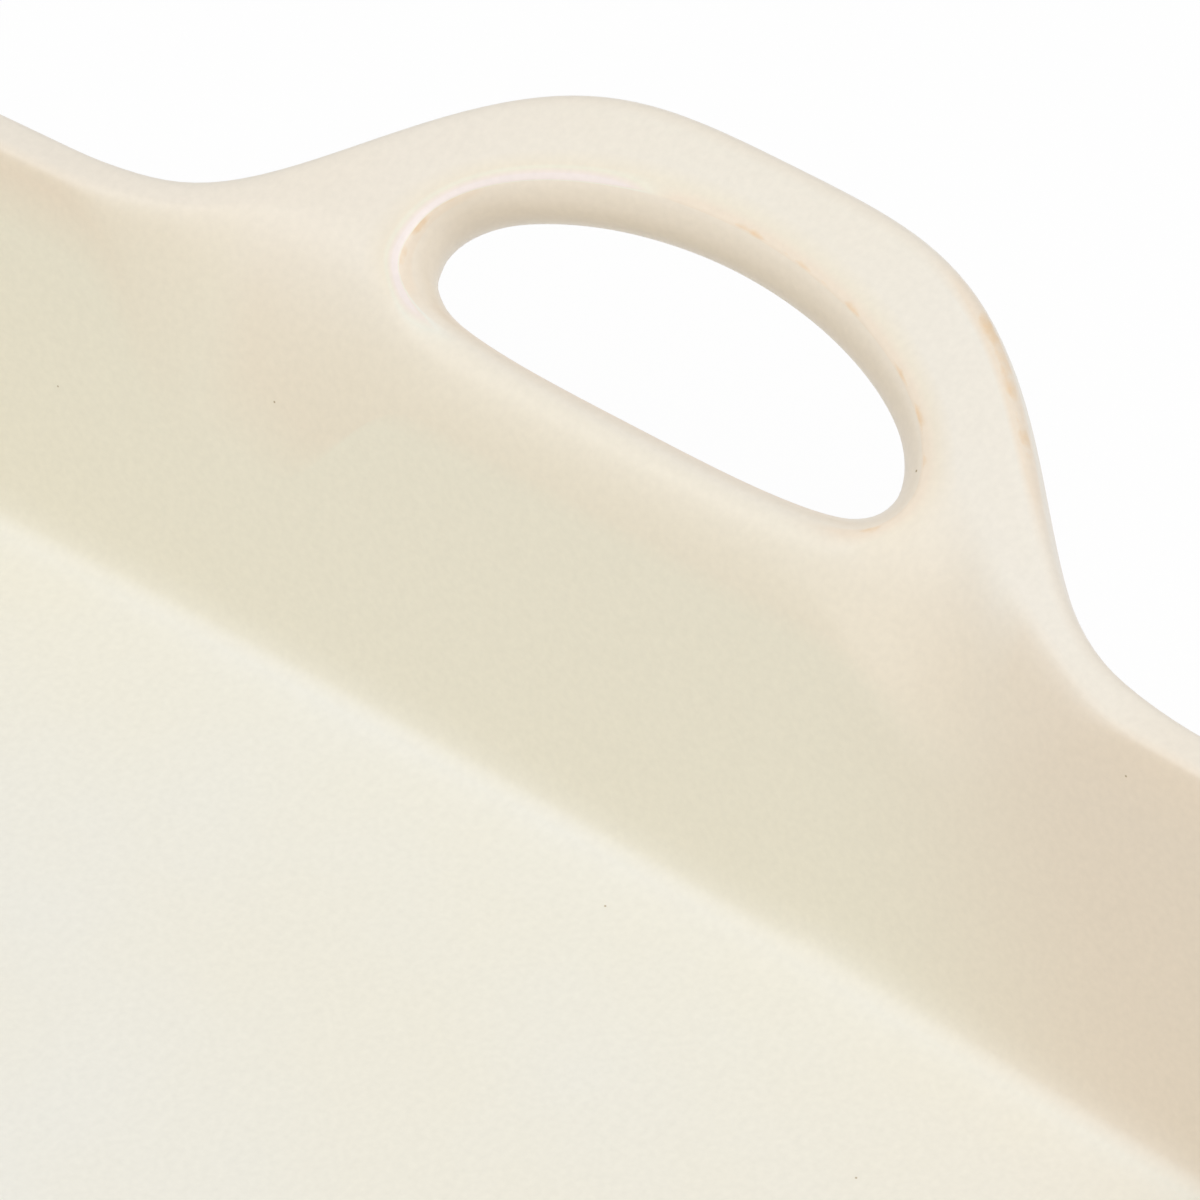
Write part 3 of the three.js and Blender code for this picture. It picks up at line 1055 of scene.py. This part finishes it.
    def hole_strand(self, step: int, row: int, angle: float) -> list[Spot]:
        """A strand of points from the opening's edge over the lip and through the hole to the edge behind.

        Args:
            step: The edge's column, counted from the middle of the side.
            row: The edge's row, counted up the lug's face.
            angle: Angle round the hole where the strand goes through.

        Returns:
            The strand's points.
        """
        lug, hole = self.lug, self.lug.hole
        sill = hole.sill(angle)
        rows = first_ring(Bend.FRONT) - first_ring(Bend.RIDGE)
        edge_along = step * 2 * self.plan.lug_half_span / self.plan.lug_columns
        edge_climb = lug.row_climb(edge_along, row)
        strand: list[Spot] = []
        steps = [mixed(lip_step.beyond, lip_step.sill_beyond, sill) for lip_step in self.lip_steps]
        near_along, near_climb = hole.at(angle, hole.lip + steps[0])
        for share in self.face_shares:
            along = mixed(near_along, edge_along, share)
            climb = mixed(near_climb, edge_climb, share)
            shade_share = slope_shade(lug.face_slope(along, climb))
            strand.append(Spot(along, lug.face_point(along, climb), self.face_thin(along), shade_share))
        # The shoulder by the lip gets painted shade, except on the sill.
        for beyond, lip_step in zip(steps, self.lip_steps):
            along, point = lug.beside_hole(angle, beyond)
            shade_share = slope_shade(lug.face_slope(along, hole.at(angle, hole.lip + beyond)[1]))
            # The lip is painted with a white highlight at the soft end, and its glaze is drawn thin at the
            # crisp end.
            roll = mixed(*self.lip_highlight_and_thin, eased(-along, *self.lip_highlight_ends))
            thin = mixed(self.face_thin(along), roll, lip_step.roll * (1 - sill))
            strand.append(Spot(along, point, thin, max(shade_share, lip_step.painted_shade * (1 - sill))))
        # Painted shade grows deeper in the hole.
        for bore_step in self.bore_steps:
            along, point = lug.in_bore(angle, mixed(bore_step.share, bore_step.sill_share, sill))
            broken = bore_step.broken * eased(along, *self.lip_break_ends)
            thin = mixed(self.bore_thinness, self.lip_break, broken)
            strand.append(Spot(along, point, mixed(thin, bore_step.sill_thin, sill), 1.0 - bore_step.share))
        # Behind the narrowest loop and on the lug's back the painted shade is full.
        for share in self.behind_shares:
            strand.append(Spot(*lug.behind_bore(angle, share), self.bore_thinness, 1.0))
        back_along, back_climb = hole.at(angle, hole.back_lip * (1 - sill))
        back_share = lug.back_share(back_along, back_climb)
        edge_share = mixed(*lug.back_limits(edge_along), row / rows)
        for share in self.back_shares:
            along = mixed(back_along, edge_along, share)
            point = lug.back_point(along, mixed(back_share, edge_share, share))
            strand.append(Spot(along, point, 0.0, 1.0))
        return strand

    def dress(self, piece: bpy.types.Object, finish: "SatinGlaze") -> None:
        """Gives the dish its glaze and its place in the frame."""
        piece.data.materials.append(finish.material())
        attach(piece, BODY)
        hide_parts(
            "liner_glaze", "outer_glaze", "base_glaze",
            "right_handle", "right_handle_glaze", "left_handle", "left_handle_glaze",
        )


@dataclass
class BareFoot:
    """The foot ring under the base, wiped clean of glaze before firing."""

    plan: DishPlan
    wall: WallSection
    width: float = 0.007
    edge_round: float = 0.0006
    bedding: float = 0.0004
    round_parts: int = 3
    sharp_angle: float = math.radians(40)

    def section(self) -> list[Vector]:
        """The ring's section, from the outer edge of the foot down and round to the inner edge."""
        outer = self.wall.foot_outer.x
        inner = outer - self.width
        top = self.wall.foot_height + self.bedding
        line = [Vector((outer, top))]
        corners = [Vector((outer, top)), Vector((outer, 0.0)), Vector((inner, 0.0)), Vector((inner, top))]
        for before, corner, after in zip(corners, corners[1:], corners[2:]):
            start = towards(corner, before, self.edge_round)
            end = towards(corner, after, self.edge_round)
            parts = self.round_parts
            line.extend(on_round(start, corner, end, part / parts) for part in range(parts + 1))
        line.append(corners[-1])
        return line

    def build(self) -> bpy.types.Object:
        """Models the foot ring.

        Returns:
            The finished piece.
        """
        columns = self.plan.columns
        section = self.section()

        def place(number: int, point: Vector) -> Vector:
            """The place of a section's point at a column."""
            flat = columns[number].place + columns[number].normal * point.x
            return Vector((flat.x, flat.y, point.y))

        clear_selection()
        bpy.ops.mesh.primitive_circle_add(vertices=len(columns), radius=self.plan.inner_width / 2)
        piece = named_object("bare_foot")
        bpy.ops.object.mode_set(mode="EDIT")
        net = edited()
        layer = net.verts.layers.int.new(COLUMN_LAYER)
        net.verts.ensure_lookup_table()
        for number, vertex in enumerate(net.verts):
            vertex[layer] = number
            vertex.co = place(number, section[0])
        bmesh.update_edit_mesh(piece.data)
        for point in [*section[1:], section[0]]:
            bpy.ops.mesh.extrude_edges_move()
            net = edited()
            layer = net.verts.layers.int[COLUMN_LAYER]
            for vertex in net.verts:
                if vertex.select:
                    vertex.co = place(vertex[layer], point)
            bmesh.update_edit_mesh(piece.data)
        bpy.ops.mesh.select_all(action="SELECT")
        bpy.ops.mesh.remove_doubles(threshold=MERGE_DISTANCE)
        bpy.ops.mesh.normals_make_consistent(inside=False)
        bpy.ops.object.mode_set(mode="OBJECT")
        bpy.ops.object.shade_smooth_by_angle(angle=self.sharp_angle)
        return piece

    def dress(self, piece: bpy.types.Object, finish: "BareStoneware") -> None:
        """Gives the foot its bare clay and its place in the frame."""
        piece.data.materials.append(finish.material())
        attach(piece, BODY)
        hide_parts("dish_body")


def linear(colour: str) -> tuple[float, float, float, float]:
    """An sRGB hex colour as linear red, green, blue and alpha."""
    parts = [int(colour[i:i + 2], 16) / 255 for i in (1, 3, 5)]
    red, green, blue = (c / 12.92 if c <= 0.04045 else ((c + 0.055) / 1.055) ** 2.4 for c in parts)
    return red, green, blue, 1.0


def add_node(
    tree: Tree,
    kind: str,
    inputs: Mapping[str | int, object] | None = None,
    **settings: object,
) -> bpy.types.Node:
    """Adds a node to a tree.

    Args:
        tree: The material's or world's tree.
        kind: The node's type.
        inputs: Values, or sockets to link, by input name or number.
        settings: The node's own settings.

    Returns:
        The new node.
    """
    made = tree.nodes.new(kind)
    for name, value in settings.items():
        setattr(made, name, value)
    for name, value in (inputs or {}).items():
        if isinstance(value, Socket):
            tree.links.new(value, made.inputs[name])
        else:
            made.inputs[name].default_value = value
    return made


def new_material(name: str) -> tuple[bpy.types.Material, Tree]:
    """A material with an empty node tree."""
    material = bpy.data.materials.new(name)
    material.use_nodes = True
    material.node_tree.nodes.clear()
    return material, material.node_tree


# Input and output numbers of a Mix node that mixes colours.
MIX_A, MIX_B, MIX_RESULT = 6, 7, 2


class Grain(NamedTuple):
    """A noise pattern: the real size of its spots, and how many finer layers it has."""

    size: float
    detail: float


# To the eye: a soft sheen with no sharp reflection. Level glaze is a cloudy cream. Steep walls and the hole
# are painted an olive shade, pinker and darker towards the front wall. Glaze is pink where it lies thin, tan
# where it breaks, and a white highlight is painted along the lip. Pinholes are dark dots less than 0.4 mm
# wide.
@dataclass(frozen=True)
class SatinGlaze:
    """A fired satin glaze: an opaque cream glass, cloudy where it pools and broken to tan where it thins.

    Attributes ending in ends hold the values between which something starts and is full.
    """

    cream: str = "#EFEEE7"
    warm_cream: str = "#F0EDE1"
    # Painted shade: the olive of steep walls and of the hole.
    olive: str = "#EFEAD9"
    # Painted highlight: the white line along the hole's lip.
    white: str = "#F2E7E2"
    blush: str = "#EFE1CE"
    # Painted shade: pinker and darker on steep surfaces towards the front wall, where the corner shades them.
    corner_shade: str = "#EBDFCE"
    tan: str = "#E9C89D"
    pit: str = "#AE9A78"
    cloud: Grain = Grain(0.045, 3.0)
    cloud_ends: tuple[float, float] = (0.3, 0.7)
    blush_ends: tuple[float, float] = (0.0, 0.5)
    patch: Grain = Grain(0.003, 4.0)
    patch_depth: float = 1.6
    tan_ends: tuple[float, float] = (0.7, 1.25)
    worn_ends: tuple[float, float] = (0.4, 0.6)
    # Thinness where the painted lip highlight starts and where it is full.
    highlight_ends: tuple[float, float] = (-0.05, -0.6)
    mottle: Grain = Grain(0.0008, 2.0)
    mottle_depth: float = 0.045
    pit_spacing: float = 0.0085
    pit_radius: float = 0.00018
    # Where the painted corner shade lies: a way through the dish, and where along it the shade starts and is
    # full.
    corner_shade_way: tuple[float, float, float] = (0.0, -1.0, 0.37)
    corner_shade_ends: tuple[float, float] = (0.040, 0.080)
    peel: Grain = Grain(0.0016, 1.0)
    peel_height: float = 0.00001
    roughness: float = 0.3
    ior: float = 1.5

    def pooled(self, tree: Tree, place: Socket) -> Socket:
        """The colour of level glaze: cream with warmer clouds."""
        clouds = add_node(tree, "ShaderNodeTexNoise", {
            "Vector": place, "Scale": 1 / self.cloud.size, "Detail": self.cloud.detail,
        })
        share = add_node(tree, "ShaderNodeMapRange", {
            "Value": clouds.outputs["Fac"], "From Min": self.cloud_ends[0], "From Max": self.cloud_ends[1],
        })
        colour = add_node(tree, "ShaderNodeMix", {
            0: share.outputs["Result"], MIX_A: linear(self.cream), MIX_B: linear(self.warm_cream),
        }, data_type="RGBA")
        return colour.outputs[MIX_RESULT]

    def slope_shade_layer(self, tree: Tree, place: Socket) -> Layer:
        """Painted shade on steep surfaces: olive, and pinker and darker towards the front wall."""
        shade_share = add_node(tree, "ShaderNodeAttribute", attribute_name=PAINTED_SHADE_LAYER)
        # The painted shade turns pinker and darker towards the front wall.
        along = add_node(tree, "ShaderNodeVectorMath", {0: place, 1: self.corner_shade_way}, operation="DOT_PRODUCT")
        corner_shaded = add_node(tree, "ShaderNodeMapRange", {
            "Value": along.outputs["Value"], "From Min": self.corner_shade_ends[0], "From Max": self.corner_shade_ends[1],
        }, interpolation_type="SMOOTHSTEP")
        colour = add_node(tree, "ShaderNodeMix", {
            0: corner_shaded.outputs["Result"], MIX_A: linear(self.olive), MIX_B: linear(self.corner_shade),
        }, data_type="RGBA")
        return shade_share.outputs["Fac"], colour.outputs[MIX_RESULT]

    def drawn(self, tree: Tree, thin: Socket) -> Layer:
        """Pink where glaze is drawn thin over an edge, and at the edges of the painted lip highlight."""
        change = add_node(tree, "ShaderNodeMath", {0: thin}, operation="ABSOLUTE")
        share = add_node(tree, "ShaderNodeMapRange", {
            "Value": change.outputs["Value"], "From Min": self.blush_ends[0], "From Max": self.blush_ends[1],
        })
        return share.outputs["Result"], linear(self.blush)

    def worn(self, tree: Tree, place: Socket, thin: Socket) -> Layer:
        """Ragged tan patches where the glaze breaks."""
        patches = add_node(tree, "ShaderNodeTexNoise", {
            "Vector": place, "Scale": 1 / self.patch.size, "Detail": self.patch.detail,
        })
        uneven = add_node(tree, "ShaderNodeMapRange", {
            "Value": patches.outputs["Fac"], "To Min": -self.patch_depth / 2, "To Max": self.patch_depth / 2,
        })
        patched = add_node(tree, "ShaderNodeMath", {0: thin, 1: uneven.outputs["Result"]}, operation="ADD")
        ragged = add_node(tree, "ShaderNodeMapRange", {
            "Value": patched.outputs["Value"], "From Min": self.tan_ends[0], "From Max": self.tan_ends[1],
        })
        edge = add_node(tree, "ShaderNodeMapRange", {
            "Value": thin, "From Min": self.worn_ends[0], "From Max": self.worn_ends[1],
        })
        share = add_node(tree, "ShaderNodeMath", {
            0: ragged.outputs["Result"], 1: edge.outputs["Result"],
        }, operation="MULTIPLY")
        return share.outputs["Value"], linear(self.tan)

    def painted_lip_highlight(self, tree: Tree, thin: Socket) -> Layer:
        """A white highlight painted along the hole's lip."""
        share = add_node(tree, "ShaderNodeMapRange", {
            "Value": thin, "From Min": self.highlight_ends[0], "From Max": self.highlight_ends[1],
        })
        return share.outputs["Result"], linear(self.white)

    def pitted(self, tree: Tree, place: Socket) -> Layer:
        """Pinholes with soft edges."""
        pits = add_node(tree, "ShaderNodeTexVoronoi", {"Vector": place, "Scale": 1 / self.pit_spacing})
        edge = self.pit_radius / self.pit_spacing
        share = add_node(tree, "ShaderNodeMapRange", {
            "Value": pits.outputs["Distance"], "From Min": edge, "From Max": edge / 2,
        })
        return share.outputs["Result"], linear(self.pit)

    def material(self) -> bpy.types.Material:
        """Makes the material, layer over layer.

        Returns:
            The glaze.
        """
        material, tree = new_material("satin_glaze_on_stoneware")
        place = add_node(tree, "ShaderNodeTexCoord").outputs["Object"]
        thin = add_node(tree, "ShaderNodeAttribute", attribute_name=THIN_AND_HIGHLIGHT_LAYER).outputs["Fac"]
        layers = (
            self.slope_shade_layer(tree, place),
            self.drawn(tree, thin),
            self.worn(tree, place, thin),
            self.painted_lip_highlight(tree, thin),
            self.pitted(tree, place),
        )
        colour = self.pooled(tree, place)
        for share, upper in layers:
            colour = add_node(tree, "ShaderNodeMix", {
                0: share, MIX_A: colour, MIX_B: upper,
            }, data_type="RGBA").outputs[MIX_RESULT]
        mottle = add_node(tree, "ShaderNodeTexNoise", {
            "Vector": place, "Scale": 1 / self.mottle.size, "Detail": self.mottle.detail,
        })
        shade = add_node(tree, "ShaderNodeMapRange", {
            "Value": mottle.outputs["Fac"], "To Min": 1 - self.mottle_depth, "To Max": 1 + self.mottle_depth,
        })
        shaded = add_node(tree, "ShaderNodeMix", {
            0: 1.0, MIX_A: colour, MIX_B: shade.outputs["Result"],
        }, data_type="RGBA", blend_type="MULTIPLY")
        peel = add_node(tree, "ShaderNodeTexNoise", {
            "Vector": place, "Scale": 1 / self.peel.size, "Detail": self.peel.detail,
        })
        bump = add_node(tree, "ShaderNodeBump", {
            "Height": peel.outputs["Fac"], "Distance": self.peel_height, "Strength": 1.0,
        })
        shader = add_node(tree, "ShaderNodeBsdfPrincipled", {
            "Base Color": shaded.outputs[MIX_RESULT],
            "Roughness": self.roughness, "IOR": self.ior, "Normal": bump.outputs["Normal"],
        })
        add_node(tree, "ShaderNodeOutputMaterial", {"Surface": shader.outputs["BSDF"]})
        return material


# To the eye: a dry, sandy ring without any sheen, darker than the glaze.
@dataclass(frozen=True)
class BareStoneware:
    """Bare fired stoneware: matt buff clay with darker grog."""

    clay: str = "#C9B18E"
    grog: str = "#A88C66"
    grog_grain: Grain = Grain(0.0008, 3.0)
    roughness: float = 0.9

    def material(self) -> bpy.types.Material:
        """Makes the material.

        Returns:
            The bare clay.
        """
        material, tree = new_material("bare_fired_stoneware")
        grains = add_node(tree, "ShaderNodeTexNoise", {
            "Vector": add_node(tree, "ShaderNodeTexCoord").outputs["Object"],
            "Scale": 1 / self.grog_grain.size, "Detail": self.grog_grain.detail,
        })
        colour = add_node(tree, "ShaderNodeMix", {
            0: grains.outputs["Fac"], MIX_A: linear(self.clay), MIX_B: linear(self.grog),
        }, data_type="RGBA")
        shader = add_node(tree, "ShaderNodeBsdfPrincipled", {
            "Base Color": colour.outputs[MIX_RESULT], "Roughness": self.roughness,
        })
        add_node(tree, "ShaderNodeOutputMaterial", {"Surface": shader.outputs["BSDF"]})
        return material


@dataclass(frozen=True)
class PhotoCamera:
    """The camera where the photograph was taken, aimed near the middle of the right handle's ridge."""

    azimuth: float = math.radians(-56.438)
    elevation: float = math.radians(44.1)
    roll: float = math.radians(3.317)
    distance: float = 0.6983
    lens: float = 210.76
    sensor: float = 36.0
    across: float = -0.000144
    down: float = 0.015257
    clip_start: float = 0.01

    def add(self, aim: Vector) -> None:
        """Adds the camera and makes it the scene's.

        Args:
            aim: The middle of the handle's ridge.
        """
        back = Vector((
            math.sin(self.azimuth) * math.cos(self.elevation),
            -math.cos(self.azimuth) * math.cos(self.elevation),
            math.sin(self.elevation),
        ))
        right = Vector((0.0, 0.0, 1.0)).cross(back).normalized()
        up = back.cross(right)
        turned_right = right * math.cos(self.roll) + up * math.sin(self.roll)
        turned_up = back.cross(turned_right)
        eye = aim - turned_right * self.across - turned_up * self.down + back * self.distance
        data = bpy.data.cameras.new("photo_camera")
        data.lens = self.lens
        data.sensor_width = self.sensor
        data.clip_start = self.clip_start
        camera = bpy.data.objects.new("photo_camera", data)
        bpy.context.scene.collection.objects.link(camera)
        turn = Matrix((turned_right, turned_up, back)).transposed().to_4x4()
        camera.matrix_world = Matrix.Translation(eye) @ turn
        bpy.context.scene.camera = camera


@dataclass(frozen=True)
class Softbox:
    """A square studio lamp that faces a point."""

    name: str
    place: tuple[float, float, float]
    size: float
    power: float

    def add(self, aim: Vector) -> None:
        """Hangs the lamp.

        Args:
            aim: The point that it faces.
        """
        data = bpy.data.lights.new(self.name, "AREA")
        data.size = self.size
        data.energy = self.power
        lamp = bpy.data.objects.new(self.name, data)
        bpy.context.scene.collection.objects.link(lamp)
        lamp.location = self.place
        lamp.rotation_euler = (lamp.location - aim).to_track_quat("Z", "Y").to_euler()


@dataclass(frozen=True)
class Studio:
    """A white floor under soft light."""

    floor_size: float = 8.0
    floor_colour: str = "#FFFFFF"
    glow: float = 0.93
    sky: float = 0.735
    lamps: tuple[Softbox, ...] = (
        Softbox("key_softbox", (-0.25, -0.46, 1.09), 0.8, 5.9),
        Softbox("side_softbox", (-0.64, 0.46, 0.81), 0.6, 1.0),
        Softbox("front_softbox", (-1.2, 0.2, 0.75), 1.4, 0.6),
    )

    def add(self, aim: Vector) -> None:
        """Sets up floor, sky and lamps.

        Args:
            aim: The point that the lamps face.
        """
        clear_selection()
        bpy.ops.mesh.primitive_plane_add(size=self.floor_size)
        floor = named_object("studio_floor")
        floor.data.materials.append(self.floor_material())
        self.add_sky()
        for lamp in self.lamps:
            lamp.add(aim)

    def seen_directly(self, tree: Tree) -> Socket:
        """1 for rays from the camera, from gloss and through glass, and 0 for those that light the object."""
        path = add_node(tree, "ShaderNodeLightPath").outputs
        seen = path["Is Camera Ray"]
        for ray in ("Is Glossy Ray", "Is Transmission Ray"):
            seen = add_node(tree, "ShaderNodeMath", {
                0: seen, 1: path[ray],
            }, operation="MAXIMUM").outputs["Value"]
        return seen

    def floor_material(self) -> bpy.types.Material:
        """A white floor that glows to the eye and keeps the object's shadow."""
        material, tree = new_material("white_studio_floor")
        share = add_node(tree, "ShaderNodeMath", {
            0: self.seen_directly(tree), 1: self.glow,
        }, operation="MULTIPLY")
        matt = add_node(tree, "ShaderNodeBsdfDiffuse", {"Color": linear(self.floor_colour)})
        glow = add_node(tree, "ShaderNodeEmission", {"Strength": 1.0})
        surface = add_node(tree, "ShaderNodeMixShader", {
            0: share.outputs["Value"], 1: matt.outputs["BSDF"], 2: glow.outputs["Emission"],
        })
        add_node(tree, "ShaderNodeOutputMaterial", {"Surface": surface.outputs["Shader"]})
        return material

    def add_sky(self) -> None:
        """An even white sky: full white to the eye, and soft light on the object."""
        world = bpy.data.worlds.new("studio_sky")
        world.use_nodes = True
        tree = world.node_tree
        tree.nodes.clear()
        strength = add_node(tree, "ShaderNodeMapRange", {
            "Value": self.seen_directly(tree), "To Min": self.sky, "To Max": 1.0,
        })
        sky = add_node(tree, "ShaderNodeBackground", {"Strength": strength.outputs["Result"]})
        add_node(tree, "ShaderNodeOutputWorld", {"Surface": sky.outputs["Background"]})
        bpy.context.scene.world = world


def corners(box: Sequence[Vector]) -> list[list[float]]:
    """A box's two corners as plain lists of numbers."""
    return [[float(value) for value in corner] for corner in box]


def main() -> None:
    """Builds the dish, its foot and the studio."""
    logging.basicConfig(level=logging.INFO, format="%(name)s: %(message)s")
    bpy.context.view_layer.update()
    bpy.context.scene.view_settings.view_transform = "Standard"
    mounts = {mount["name"]: mount["pos_m"] for mount in frame["record"]["mounts"]}
    wall = WallSection(
        floor_top=mounts["floor"][2],
        rim_top=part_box("liner_glaze")[1].z,
        foot_height=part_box("base_glaze")[0].z,
    )
    plan = DishPlan()
    lug = LugHandle(half_span=plan.lug_half_span, wall=wall)
    ridge_middle = Vector((plan.inner_width / 2, 0.0, wall.rim_top))
    PhotoCamera().add(ridge_middle)
    Studio().add(Vector((0.0, 0.0, wall.rim_top)))
    dish = GlazedDish(plan, lug)
    piece = dish.build()
    dish.dress(piece, SatinGlaze())
    LOG.info("%s: %d faces", piece.name, len(piece.data.polygons))
    foot = BareFoot(plan, wall)
    piece = foot.build()
    foot.dress(piece, BareStoneware())
    LOG.info("%s: %d faces", piece.name, len(piece.data.polygons))


if __name__ == "__main__":
    main()
